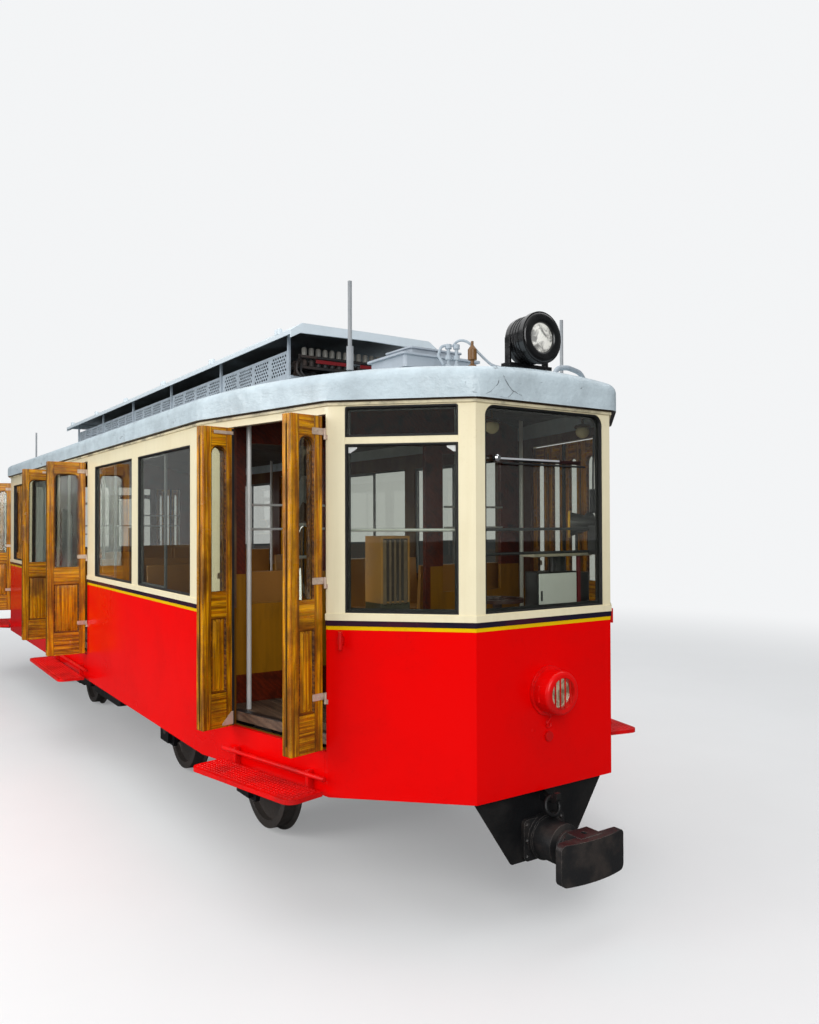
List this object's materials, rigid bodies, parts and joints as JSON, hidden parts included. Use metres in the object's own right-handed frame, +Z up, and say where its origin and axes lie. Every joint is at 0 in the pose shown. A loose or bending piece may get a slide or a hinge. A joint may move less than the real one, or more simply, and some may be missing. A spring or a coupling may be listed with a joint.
{
  "type": "rack tramcar",
  "caption": "Rack railway tramcar with tapered ends, folding entry doors, two bogies and a resistor bank under a roof canopy.",
  "frame": {"origin": "on the track centre line at rail top height, midway between the two ends of the car; the wheel flanges reach 28 mm lower", "axes": "+X towards the front end, +Y to the driver's left, +Z up"},
  "size_m": [12.8396, 3.6165, 3.958],
  "materials": {
    "red_paint": "gloss",
    "cream_paint": "gloss",
    "cornice_wood": "varnished",
    "window_glass": "clear",
    "sash_metal": "satin",
    "dark_trim": "satin",
    "floor_wood": "worn",
    "roof_paint": "brushed paint",
    "canopy_metal": "satin",
    "resistor_iron": "rough",
    "black_paint": "gloss",
    "buffer_iron": "rusty",
    "hinge_steel": "worn",
    "dark_wood": "varnished",
    "hand_rail": "satin",
    "bench_wood": "varnished",
    "grey_paint": "satin",
    "bogie_iron": "greasy",
    "motor_iron": "painted",
    "wheel_steel": "worn tread",
    "door_wood": "varnished"
  },
  "bodies": {
    "car_body": {"lower_side_panels": "red_paint", "lower_end_panels": "red_paint", "upper_side_frames": "cream_paint", "upper_end_frames": "cream_paint", "cornice": "cornice_wood", "side_glass": "window_glass", "sliding_sashes": "sash_metal", "end_glass": "window_glass", "end_window_frames": "dark_trim", "floor_deck": "floor_wood", "roof": "roof_paint", "canopy_cover": "roof_paint", "canopy_frame": "canopy_metal", "resistor_banks": "resistor_iron", "headlamps": "red_paint", "roof_headlamps": "black_paint", "underframe": "black_paint", "headstocks": "black_paint", "buffers": "buffer_iron", "entry_steps": "red_paint", "underfloor_equipment": "black_paint", "door_knuckles": "hinge_steel", "bulkheads": "dark_wood", "grab_poles": "hand_rail", "saloon_seats": "bench_wood", "cab_controls": "grey_paint", "roof_fittings": "roof_paint", "nose_fittings": "red_paint"},
    "leaf_right_front_a1": {"leaf_right_front_a1": "door_wood"},
    "leaf_right_front_a2": {"leaf_right_front_a2": "door_wood"},
    "leaf_right_front_b1": {"leaf_right_front_b1": "door_wood"},
    "leaf_right_front_b2": {"leaf_right_front_b2": "door_wood"},
    "leaf_right_rear_a1": {"leaf_right_rear_a1": "door_wood"},
    "leaf_right_rear_a2": {"leaf_right_rear_a2": "door_wood"},
    "leaf_right_rear_b1": {"leaf_right_rear_b1": "door_wood"},
    "leaf_right_rear_b2": {"leaf_right_rear_b2": "door_wood"},
    "leaf_right_centre_a1": {"leaf_right_centre_a1": "door_wood"},
    "leaf_right_centre_a2": {"leaf_right_centre_a2": "door_wood"},
    "leaf_right_centre_b1": {"leaf_right_centre_b1": "door_wood"},
    "leaf_right_centre_b2": {"leaf_right_centre_b2": "door_wood"},
    "leaf_left_front_a1": {"leaf_left_front_a1": "door_wood"},
    "leaf_left_front_a2": {"leaf_left_front_a2": "door_wood"},
    "leaf_left_front_b1": {"leaf_left_front_b1": "door_wood"},
    "leaf_left_front_b2": {"leaf_left_front_b2": "door_wood"},
    "leaf_left_rear_a1": {"leaf_left_rear_a1": "door_wood"},
    "leaf_left_rear_a2": {"leaf_left_rear_a2": "door_wood"},
    "leaf_left_rear_b1": {"leaf_left_rear_b1": "door_wood"},
    "leaf_left_rear_b2": {"leaf_left_rear_b2": "door_wood"},
    "leaf_left_centre_a1": {"leaf_left_centre_a1": "door_wood"},
    "leaf_left_centre_a2": {"leaf_left_centre_a2": "door_wood"},
    "leaf_left_centre_b1": {"leaf_left_centre_b1": "door_wood"},
    "leaf_left_centre_b2": {"leaf_left_centre_b2": "door_wood"},
    "bogie_front": {"bogie_frame_front": "bogie_iron", "traction_motors_front": "motor_iron"},
    "wheelset_front_outer": {"wheelset_front_outer": "wheel_steel"},
    "wheelset_front_inner": {"wheelset_front_inner": "wheel_steel"},
    "bogie_rear": {"bogie_frame_rear": "bogie_iron", "traction_motors_rear": "motor_iron"},
    "wheelset_rear_outer": {"wheelset_rear_outer": "wheel_steel"},
    "wheelset_rear_inner": {"wheelset_rear_inner": "wheel_steel"}
  },
  "joints": [
    {"name": "open_right_front_a", "type": "hinge", "parent": "car_body", "child": "leaf_right_front_a1", "pos_m": [4.42034, -1.40613, 1.032], "axis": [0, 0, -1], "range_deg": [-90, 0]},
    {"name": "fold_right_front_a", "type": "hinge", "parent": "leaf_right_front_a1", "child": "leaf_right_front_a2", "pos_m": [4.52404, -1.63914, 1.032], "axis": [0, 0, -1], "range_deg": [0, 180]},
    {"name": "open_right_front_b", "type": "hinge", "parent": "car_body", "child": "leaf_right_front_b1", "pos_m": [5.39246, -1.18935, 1.032], "axis": [0, 0, 1], "range_deg": [-90, 0]},
    {"name": "fold_right_front_b", "type": "hinge", "parent": "leaf_right_front_b1", "child": "leaf_right_front_b2", "pos_m": [5.39758, -1.44435, 1.032], "axis": [0, 0, 1], "range_deg": [0, 180]},
    {"name": "open_right_rear_a", "type": "hinge", "parent": "car_body", "child": "leaf_right_rear_a1", "pos_m": [-5.39246, -1.18935, 1.032], "axis": [0, 0, -1], "range_deg": [-90, 0]},
    {"name": "fold_right_rear_a", "type": "hinge", "parent": "leaf_right_rear_a1", "child": "leaf_right_rear_a2", "pos_m": [-5.39758, -1.44435, 1.032], "axis": [0, 0, -1], "range_deg": [0, 180]},
    {"name": "open_right_rear_b", "type": "hinge", "parent": "car_body", "child": "leaf_right_rear_b1", "pos_m": [-4.42034, -1.40613, 1.032], "axis": [0, 0, 1], "range_deg": [-90, 0]},
    {"name": "fold_right_rear_b", "type": "hinge", "parent": "leaf_right_rear_b1", "child": "leaf_right_rear_b2", "pos_m": [-4.52404, -1.63914, 1.032], "axis": [0, 0, 1], "range_deg": [0, 180]},
    {"name": "open_right_centre_a", "type": "hinge", "parent": "car_body", "child": "leaf_right_centre_a1", "pos_m": [-0.753, -1.476, 1.032], "axis": [0, 0, -1], "range_deg": [-90, 0]},
    {"name": "fold_right_centre_a", "type": "hinge", "parent": "leaf_right_centre_a1", "child": "leaf_right_centre_a2", "pos_m": [-0.7025, -1.8535, 1.032], "axis": [0, 0, -1], "range_deg": [0, 180]},
    {"name": "open_right_centre_b", "type": "hinge", "parent": "car_body", "child": "leaf_right_centre_b1", "pos_m": [0.753, -1.476, 1.032], "axis": [0, 0, 1], "range_deg": [-90, 0]},
    {"name": "fold_right_centre_b", "type": "hinge", "parent": "leaf_right_centre_b1", "child": "leaf_right_centre_b2", "pos_m": [0.7025, -1.8535, 1.032], "axis": [0, 0, 1], "range_deg": [0, 180]},
    {"name": "open_left_front_a", "type": "hinge", "parent": "car_body", "child": "leaf_left_front_a1", "pos_m": [5.39246, 1.18935, 1.032], "axis": [0, 0, -1], "range_deg": [0, 90]},
    {"name": "fold_left_front_a", "type": "hinge", "parent": "leaf_left_front_a1", "child": "leaf_left_front_a2", "pos_m": [5.13746, 1.19448, 1.032], "axis": [0, 0, -1], "range_deg": [-180, 0]},
    {"name": "open_left_front_b", "type": "hinge", "parent": "car_body", "child": "leaf_left_front_b1", "pos_m": [4.42034, 1.40613, 1.032], "axis": [0, 0, 1], "range_deg": [0, 90]},
    {"name": "fold_left_front_b", "type": "hinge", "parent": "leaf_left_front_b1", "child": "leaf_left_front_b2", "pos_m": [4.65335, 1.30243, 1.032], "axis": [0, 0, 1], "range_deg": [-180, 0]},
    {"name": "open_left_rear_a", "type": "hinge", "parent": "car_body", "child": "leaf_left_rear_a1", "pos_m": [-4.42034, 1.40613, 1.032], "axis": [0, 0, -1], "range_deg": [0, 90]},
    {"name": "fold_left_rear_a", "type": "hinge", "parent": "leaf_left_rear_a1", "child": "leaf_left_rear_a2", "pos_m": [-4.65335, 1.30243, 1.032], "axis": [0, 0, -1], "range_deg": [-180, 0]},
    {"name": "open_left_rear_b", "type": "hinge", "parent": "car_body", "child": "leaf_left_rear_b1", "pos_m": [-5.39246, 1.18935, 1.032], "axis": [0, 0, 1], "range_deg": [0, 90]},
    {"name": "fold_left_rear_b", "type": "hinge", "parent": "leaf_left_rear_b1", "child": "leaf_left_rear_b2", "pos_m": [-5.13746, 1.19448, 1.032], "axis": [0, 0, 1], "range_deg": [-180, 0]},
    {"name": "open_left_centre_a", "type": "hinge", "parent": "car_body", "child": "leaf_left_centre_a1", "pos_m": [0.753, 1.476, 1.032], "axis": [0, 0, -1], "range_deg": [0, 90]},
    {"name": "fold_left_centre_a", "type": "hinge", "parent": "leaf_left_centre_a1", "child": "leaf_left_centre_a2", "pos_m": [0.3755, 1.4255, 1.032], "axis": [0, 0, -1], "range_deg": [-180, 0]},
    {"name": "open_left_centre_b", "type": "hinge", "parent": "car_body", "child": "leaf_left_centre_b1", "pos_m": [-0.753, 1.476, 1.032], "axis": [0, 0, 1], "range_deg": [0, 90]},
    {"name": "fold_left_centre_b", "type": "hinge", "parent": "leaf_left_centre_b1", "child": "leaf_left_centre_b2", "pos_m": [-0.3755, 1.4255, 1.032], "axis": [0, 0, 1], "range_deg": [-180, 0]},
    {"name": "swivel_front", "type": "hinge", "parent": "car_body", "child": "bogie_front", "pos_m": [2.75, 0, 0.79], "axis": [0, 0, 1], "range_deg": [-5, 5]},
    {"name": "spin_front_outer", "type": "hinge", "parent": "bogie_front", "child": "wheelset_front_outer", "pos_m": [3.7, 0, 0.4], "axis": [0, 1, 0], "continuous": true},
    {"name": "spin_front_inner", "type": "hinge", "parent": "bogie_front", "child": "wheelset_front_inner", "pos_m": [1.8, 0, 0.4], "axis": [0, 1, 0], "continuous": true},
    {"name": "swivel_rear", "type": "hinge", "parent": "car_body", "child": "bogie_rear", "pos_m": [-2.75, 0, 0.79], "axis": [0, 0, 1], "range_deg": [-5, 5]},
    {"name": "spin_rear_outer", "type": "hinge", "parent": "bogie_rear", "child": "wheelset_rear_outer", "pos_m": [-3.7, 0, 0.4], "axis": [0, 1, 0], "continuous": true},
    {"name": "spin_rear_inner", "type": "hinge", "parent": "bogie_rear", "child": "wheelset_rear_inner", "pos_m": [-1.8, 0, 0.4], "axis": [0, 1, 0], "continuous": true}
  ],
  "couplings": [
    {"joint": "fold_right_front_a", "follows": "open_right_front_a", "ratio": -2},
    {"joint": "fold_right_front_b", "follows": "open_right_front_b", "ratio": -2},
    {"joint": "fold_right_rear_a", "follows": "open_right_rear_a", "ratio": -2},
    {"joint": "fold_right_rear_b", "follows": "open_right_rear_b", "ratio": -2},
    {"joint": "fold_right_centre_a", "follows": "open_right_centre_a", "ratio": -2},
    {"joint": "fold_right_centre_b", "follows": "open_right_centre_b", "ratio": -2},
    {"joint": "fold_left_front_a", "follows": "open_left_front_a", "ratio": -2},
    {"joint": "fold_left_front_b", "follows": "open_left_front_b", "ratio": -2},
    {"joint": "fold_left_rear_a", "follows": "open_left_rear_a", "ratio": -2},
    {"joint": "fold_left_rear_b", "follows": "open_left_rear_b", "ratio": -2},
    {"joint": "fold_left_centre_a", "follows": "open_left_centre_a", "ratio": -2},
    {"joint": "fold_left_centre_b", "follows": "open_left_centre_b", "ratio": -2}
  ]
}
